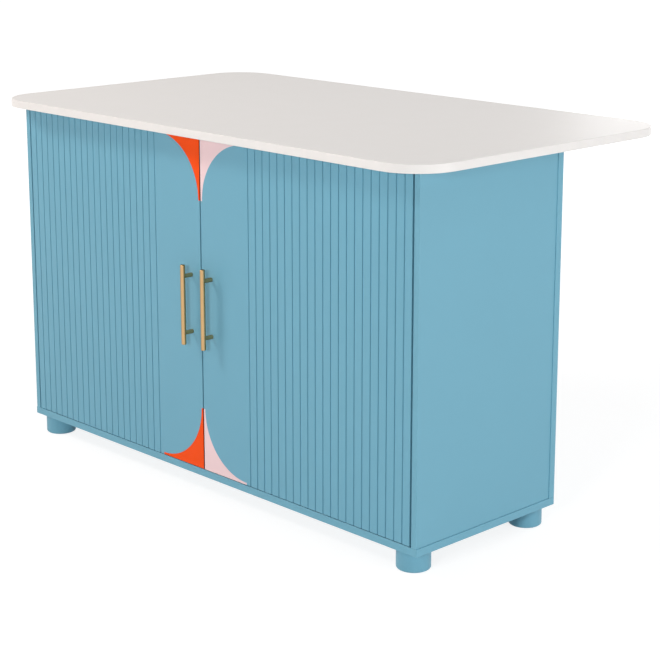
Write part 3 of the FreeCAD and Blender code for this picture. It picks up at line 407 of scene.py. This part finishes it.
shaded_inlay_sides = (DOOR_FRONT + SKIN, DOOR_FRONT + INLAY_DEPTH, INLAY_SIDE_SHADE)
orange_enamel = satin_enamel("orange_satin_enamel", "#F75009", "#F44D08", 0.42,
                             gloss=0.12, cut=shaded_inlay_sides)
pink_enamel = satin_enamel("pink_satin_enamel", "#F0D2D4", "#EED0D2", 0.42,
                           gloss=0.12, cut=shaded_inlay_sides)
for name, side, enamel, slot in (("left", -1, orange_enamel, "orange_inlay"),
                                 ("right", 1, pink_enamel, "pink_inlay")):
    for position, up in (("lower", 1), ("upper", -1)):
        piece = prism(f"inlay_blank_{name}_{position}", inlay_ring(side, up), "Y",
                      DOOR_FRONT, DOOR_FRONT + INLAY_DEPTH)
        piece.data.materials.append(enamel)
        soften(piece, INLAY_EDGE)
        inlay = settle(piece, f"colour_inlay_{name}_{position}")
        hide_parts(f"inlay_{name}_{position}")
        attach(inlay, f"door_{name}")


# ---- Bar handles -----------------------------------------------------------------------------
# A 12 mm brass bar on two turned posts, on each door beside the seam. The brass is brushed and
# lacquered: soft highlights run along the bar, and fine brush marks run round it.

MARK_SIZE, MARK_DEPTH = 0.6 * MM, 0.006 * MM
MARK_STRETCH = 0.04
TARNISH_SIZE = 25 * MM
BRUSH_SPREAD = 0.06


def brushed_brass(name, tint, shade, edge, roughness):
    """Brass turned and brushed on a lathe. The real marks are about 0.1 mm apart, drawn here
    0.6 mm apart so that they show; they stretch the highlight and leave bands of slightly
    different sheen. Towards the bar's sides, seen at a slant, the metal darkens to its edge
    tint: a painted reflection, standing in for the dark surroundings that the sides would mirror."""
    material, tree, surface = new_material(name, tint)
    place = add_node(tree, "ShaderNodeTexCoord").outputs["Object"]
    squeezed = add_node(tree, "ShaderNodeMapping", {
        "Vector": place, "Scale": (MARK_STRETCH, MARK_STRETCH, 1.0),
    })
    marks = add_node(tree, "ShaderNodeTexNoise", {
        "Vector": squeezed.outputs["Vector"], "Scale": 1 / MARK_SIZE, "Detail": 2.0,
    })
    tarnish = add_node(tree, "ShaderNodeTexNoise", {
        "Vector": place, "Scale": 1 / TARNISH_SIZE, "Detail": 2.0,
    })
    scratches = add_node(tree, "ShaderNodeBump", {
        "Height": marks.outputs["Fac"], "Distance": MARK_DEPTH,
    })
    tone = add_node(tree, "ShaderNodeMix", {
        "Factor": tarnish.outputs["Fac"], "A": linear(tint), "B": linear(shade),
    }, data_type="RGBA")
    sheen = add_node(tree, "ShaderNodeMapRange", {
        "Value": marks.outputs["Fac"],
        "To Min": roughness - BRUSH_SPREAD, "To Max": roughness + BRUSH_SPREAD,
    })
    metal = add_node(tree, "ShaderNodeBsdfPrincipled", {
        "Base Color": tone.outputs["Result"],
        "Metallic": 1.0,
        "Roughness": sheen.outputs["Result"],
        "Specular Tint": linear(edge),
        "Normal": scratches.outputs["Normal"],
    })
    tree.links.new(metal.outputs["BSDF"], surface)
    return material


# The dark edge tint is a painted reflection: it darkens the bars' sides as the dark surroundings
# they mirror would.
brass = brushed_brass("brushed_lacquered_brass", "#D0AC7C", "#C5A172", "#8F6B3E", 0.30)
for side in ("left", "right"):
    finish_node(f"handle_bar_{side}", brass)
    finish_node(f"handle_posts_{side}", brass)


# ---- Concealed hinges ------------------------------------------------------------------------
# Three on each door. Cup, arm and plate are pressed from steel strip and plated with bright
# nickel; the arm is screwed to its plate on the side panel.

WEAR_SIZE = 5 * MM


def plated_steel(name, tint, roughness, wear):
    """Steel with a thin electroplated coat. It mirrors its surroundings softly, and handling
    leaves cloudy patches, a few millimetres across, in which it is rougher."""
    material, tree, surface = new_material(name, tint)
    place = add_node(tree, "ShaderNodeTexCoord").outputs["Object"]
    cloud = add_node(tree, "ShaderNodeTexNoise", {
        "Vector": place, "Scale": 1 / WEAR_SIZE, "Detail": 3.0,
    })
    sheen = add_node(tree, "ShaderNodeMapRange", {
        "Value": cloud.outputs["Fac"], "To Min": roughness, "To Max": roughness + wear,
    })
    metal = add_node(tree, "ShaderNodeBsdfPrincipled", {
        "Base Color": linear(tint),
        "Metallic": 1.0,
        "Roughness": sheen.outputs["Result"],
    })
    tree.links.new(metal.outputs["BSDF"], surface)
    return material


nickel = plated_steel("bright_nickel_plated_steel", "#C9CACB", 0.16, 0.12)
for side in ("left", "right"):
    for part in ("cups", "pins", "arms", "plates"):
        finish_node(f"hinge_{part}_{side}", nickel)


# ---- Fasteners -------------------------------------------------------------------------------
# Zinc-plated screws, bolts, nuts and shelf pins, and cam locks of die-cast zinc. The heads that
# can be seen have their driver recess: a cross, or a hexagon in the long base screws.

CROSS_REACH, CROSS_HALF, CROSS_DEPTH, CROSS_TAPER = 2.1 * MM, 0.55 * MM, 1.3 * MM, 0.5
HEX_REACH, HEX_DEPTH = 2.3 * MM, 3.5 * MM
HEAD_CREASE = math.radians(30)

zinc_plate = plated_steel("zinc_plated_steel", "#B4B6B8", 0.30, 0.15)
cast_zinc = plated_steel("tumbled_die_cast_zinc", "#A2A4A6", 0.45, 0.15)
for fastener in ("foot_bolts", "foot_nuts", "partition_screws", "cam_bolts",
                 "shelf_pins_left", "shelf_pins_right"):
    finish_node(fastener, zinc_plate)
finish_node("cam_locks", cast_zinc)


def merged_copy(node):
    """A copy of a CAD node with its loose triangles joined into closed shells."""
    shape = bmesh.new()
    shape.from_mesh(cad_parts[node].data)
    bmesh.ops.remove_doubles(shape, verts=shape.verts, dist=0.001 * MM)
    mesh_data = bpy.data.meshes.new(f"{node}_merged")
    shape.to_mesh(mesh_data)
    shape.free()
    return new_object(f"{node}_merged", mesh_data)


def head_points(screws, axis, outward):
    """A mesh with one point in the middle of the driven end of each screw."""
    shape = bmesh.new()
    shape.from_mesh(screws.data)
    unseen, centres = set(shape.verts), []
    while unseen:
        reached, screw = [unseen.pop()], []
        while reached:
            vert = reached.pop()
            screw.append(vert.co)
            for edge in vert.link_edges:
                other = edge.other_vert(vert)
                if other in unseen:
                    unseen.remove(other)
                    reached.append(other)
        spans = [(min(co[i] for co in screw), max(co[i] for co in screw)) for i in range(3)]
        centre = [(low + high) / 2 for low, high in spans]
        centre[axis] = spans[axis][1 if outward > 0 else 0]
        centres.append(centre)
    shape.free()
    mesh_data = bpy.data.meshes.new("head_points")
    mesh_data.from_pydata(sorted(centres), [], [])
    return new_object("head_points", mesh_data)


def driver_tree():
    """Takes one driver recess out of the head of every screw in a group."""
    tree = bpy.data.node_groups.new("driven_screws", "GeometryNodeTree")
    face = tree.interface
    for name, kind in (("Screws", "Geometry"), ("Heads", "Object"), ("Driver", "Object"),
                       ("Finish", "Material")):
        face.new_socket(name, in_out="INPUT", socket_type=f"NodeSocket{kind}")
    face.new_socket("Driven screws", in_out="OUTPUT", socket_type="NodeSocketGeometry")
    given = add_node(tree, "NodeGroupInput").outputs
    heads = add_node(tree, "GeometryNodeObjectInfo", {"Object": given["Heads"]})
    driver = add_node(tree, "GeometryNodeObjectInfo", {"Object": given["Driver"]})
    drivers = add_node(tree, "GeometryNodeInstanceOnPoints", {
        "Points": heads.outputs["Geometry"], "Instance": driver.outputs["Geometry"],
    })
    cuts = add_node(tree, "GeometryNodeRealizeInstances", {
        "Geometry": drivers.outputs["Instances"],
    })
    cut = add_node(tree, "GeometryNodeMeshBoolean", {
        "Mesh 1": given["Screws"], "Mesh 2": cuts.outputs["Geometry"],
    }, operation="DIFFERENCE")
    whole = add_node(tree, "GeometryNodeRealizeInstances", {"Geometry": cut.outputs["Mesh"]})
    finished = add_node(tree, "GeometryNodeSetMaterial", {
        "Geometry": whole.outputs["Geometry"], "Material": given["Finish"],
    })
    add_node(tree, "NodeGroupOutput", {"Driven screws": finished.outputs["Geometry"]})
    return tree


arm = [(CROSS_REACH, -CROSS_HALF), (CROSS_REACH, CROSS_HALF), (CROSS_HALF, CROSS_HALF)]
cross = [*arm, *[(-b, a) for a, b in arm], *[(-a, -b) for a, b in arm],
         *[(b, -a) for a, b in arm]]
hexagon = ring_of(HEX_REACH, 6)

screw_groups = [
    ("base_screws", "carcass", "Z", -1, hexagon, HEX_DEPTH, 1.0),
    ("worktop_screws", "carcass", "Z", -1, cross, CROSS_DEPTH, CROSS_TAPER),
]
for name, side in (("left", -1), ("right", 1)):
    for group, body, axis, outward in (
        ("hinge_cup_screws", f"door_{name}", "Y", 1),
        ("handle_screws", f"door_{name}", "Y", 1),
        ("hinge_plate_screws", "carcass", "X", -side),
        ("hinge_arm_screws", "carcass", "X", -side),
    ):
        screw_groups.append(
            (f"{group}_{name}", body, axis, outward, cross, CROSS_DEPTH, CROSS_TAPER))

driven_screws = driver_tree()
for node, body, axis, outward, ring, depth, taper in screw_groups:
    screws = merged_copy(node)
    heads = head_points(screws, "XYZ".index(axis), outward)
    driver = prism("driver", ring, axis, outward * OVERSHOOT, -outward * depth, taper)
    run_tree(screws, driven_screws, heads=heads, driver=driver, finish=zinc_plate)
    driven = settle(screws, f"driven_{node}")
    driven.data.shade_smooth()
    driven.data.set_sharp_from_angle(angle=HEAD_CREASE)
    for tool in (heads, driver):
        bpy.data.objects.remove(tool)
    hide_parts(node)
    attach(driven, body)


# ---- Dowels ----------------------------------------------------------------------------------
# Beech pegs glued into the rails and the side panels, hidden once the cabinet is together. The
# wood is bare, with short brown flecks.

BEECH_TINT, BEECH_FLECK = "#C9A273", "#B58C5C"
FLECK_SIZE = 1.5 * MM

beech, beech_tree, beech_surface = new_material("bare_beech", BEECH_TINT)
beech_place = add_node(beech_tree, "ShaderNodeTexCoord").outputs["Object"]
beech_fleck = add_node(beech_tree, "ShaderNodeTexNoise", {
    "Vector": beech_place, "Scale": 1 / FLECK_SIZE,
})
beech_tone = add_node(beech_tree, "ShaderNodeMix", {
    "Factor": beech_fleck.outputs["Fac"], "A": linear(BEECH_TINT), "B": linear(BEECH_FLECK),
}, data_type="RGBA")
beech_fibre = add_node(beech_tree, "ShaderNodeBsdfPrincipled", {
    "Base Color": beech_tone.outputs["Result"], "Roughness": 0.65, "IOR": 1.5,
})
beech_tree.links.new(beech_fibre.outputs["BSDF"], beech_surface)
finish_node("dowels", beech)


# ---- Door buffers ----------------------------------------------------------------------------
# Soft dots of polyurethane gel, 6 mm across, stuck to the front edge of the partition, where the
# doors close against them. They look pale, with a moist shine.

GEL_TINT = "#DDE4E6"

gel, gel_tree, gel_surface = new_material("clear_polyurethane_gel", GEL_TINT)
gel_body = add_node(gel_tree, "ShaderNodeBsdfPrincipled", {
    "Base Color": linear(GEL_TINT), "Roughness": 0.2, "IOR": 1.49,
})
gel_tree.links.new(gel_body.outputs["BSDF"], gel_surface)
finish_node("door_buffers", gel)


# ---- Studio ----------------------------------------------------------------------------------
# A white floor and background under soft boxes: a warm key lamp high on the left, a front lamp,
# a wide one beside the right side panel, one above and one behind. The camera stands where the
# photograph's did.

AMBIENT = 0.3
FLOOR_HALF, FLOOR_THICKNESS = 30.0, 0.02
SHADOW_REACH, WHITE_REACH = 1.0, 3.5
SHADOW_WHITE = 0.84


def shown_white(tree):
    """1 for a ray from the camera, a mirror or glass, and 0 for the diffuse light."""
    path = add_node(tree, "ShaderNodeLightPath").outputs
    seen = add_node(tree, "ShaderNodeMath", {
        0: path["Is Camera Ray"], 1: path["Is Glossy Ray"],
    }, operation="MAXIMUM")
    return add_node(tree, "ShaderNodeMath", {
        0: seen.outputs[0], 1: path["Is Transmission Ray"],
    }, operation="MAXIMUM").outputs[0]


world = bpy.data.worlds.new("studio_air")
bpy.context.scene.world = world
world.use_nodes = True
world.node_tree.nodes.clear()
level = add_node(world.node_tree, "ShaderNodeMapRange", {
    "Value": shown_white(world.node_tree), "To Min": AMBIENT, "To Max": 1.0,
})
air = add_node(world.node_tree, "ShaderNodeBackground", {
    "Color": (1.0, 1.0, 1.0, 1.0), "Strength": level.outputs["Result"],
})
add_node(world.node_tree, "ShaderNodeOutputWorld", {"Surface": air.outputs["Background"]})

floor = prism("studio_floor", rectangle((-FLOOR_HALF, -FLOOR_HALF), (FLOOR_HALF, FLOOR_HALF)),
              "Z", -FLOOR_THICKNESS, 0.0)
floor_paint, floor_tree, floor_surface = new_material("white_studio_floor", "#FFFFFF")
bounce = add_node(floor_tree, "ShaderNodeBsdfDiffuse", {"Color": linear("#F4F4F4")})
shaded = add_node(floor_tree, "ShaderNodeBsdfDiffuse", {"Color": linear("#8A8A8A")})
from_middle = add_node(floor_tree, "ShaderNodeVectorMath", {
    0: add_node(floor_tree, "ShaderNodeTexCoord").outputs["Object"],
}, operation="LENGTH")
whiteness = add_node(floor_tree, "ShaderNodeMapRange", {
    "Value": from_middle.outputs["Value"],
    "From Min": SHADOW_REACH, "From Max": WHITE_REACH,
    "To Min": SHADOW_WHITE, "To Max": 1.0,
})
glow = add_node(floor_tree, "ShaderNodeEmission", {"Strength": whiteness.outputs["Result"]})
seen_white = add_node(floor_tree, "ShaderNodeAddShader", {
    0: shaded.outputs["BSDF"], 1: glow.outputs["Emission"],
})
blended = add_node(floor_tree, "ShaderNodeMixShader", {
    0: shown_white(floor_tree), 1: bounce.outputs["BSDF"], 2: seen_white.outputs["Shader"],
})
floor_tree.links.new(blended.outputs["Shader"], floor_surface)
floor.data.materials.append(floor_paint)


def soft_lamp(name, place, target, width, height, watts, tint="#FFFFFF", mirrored=True):
    """A soft box that faces its target. The front lamp isn't mirrored, because in low views from
    behind its glare on the lacquer would hide the worktop's edge."""
    lamp = bpy.data.lights.new(name, "AREA")
    lamp.shape = "RECTANGLE"
    lamp.size = width
    lamp.size_y = height
    lamp.energy = watts
    lamp.color = linear(tint)[:3]
    holder = new_object(name, lamp)
    holder.location = place
    facing = (Vector(target) - Vector(place)).to_track_quat("-Z", "Y")
    holder.rotation_euler = facing.to_euler()
    holder.visible_glossy = mirrored


soft_lamp("key_lamp", (-2.7, -2.6, 3.45), (-0.1, -0.35, 0.65), 1.1, 1.1, 90.0, tint="#FFF4EC")
soft_lamp("front_lamp", (2.5, -4.9, 1.9), (0.1, -0.3, 0.45), 0.8, 0.8, 104.0, mirrored=False)
soft_lamp("side_wall", (6.0, 1.3, 1.2), (0.7, 0.0, 0.45), 2.6, 2.0, 116.0)
soft_lamp("top_lamp", (2.0, 1.6, 4.0), (0.6, 0.3, 0.9), 2.0, 2.0, 34.0)
soft_lamp("back_wall", (-1.5, 6.0, 1.4), (0.0, 0.1, 0.5), 4.0, 2.0, 64.0)

PHOTO_SIDE, FOCAL_IN_PIXELS = 660, 1749.43
FILM_WIDTH = 36.0
FRAME_SHIFT = -0.12
CAMERA_PLACE = (3.12872, -2.96193, 1.51517)
CAMERA_DIP, CAMERA_TURN = 0.2190, 0.8035

camera_data = bpy.data.cameras.new("camera")
camera_data.sensor_width = FILM_WIDTH
camera_data.lens = FILM_WIDTH * FOCAL_IN_PIXELS / PHOTO_SIDE
camera_data.shift_y = FRAME_SHIFT
camera = new_object("camera", camera_data)
camera.location = CAMERA_PLACE
camera.rotation_euler = (math.pi / 2 - CAMERA_DIP, 0.0, CAMERA_TURN)
bpy.context.scene.camera = camera

bpy.context.scene.view_settings.view_transform = "Standard"
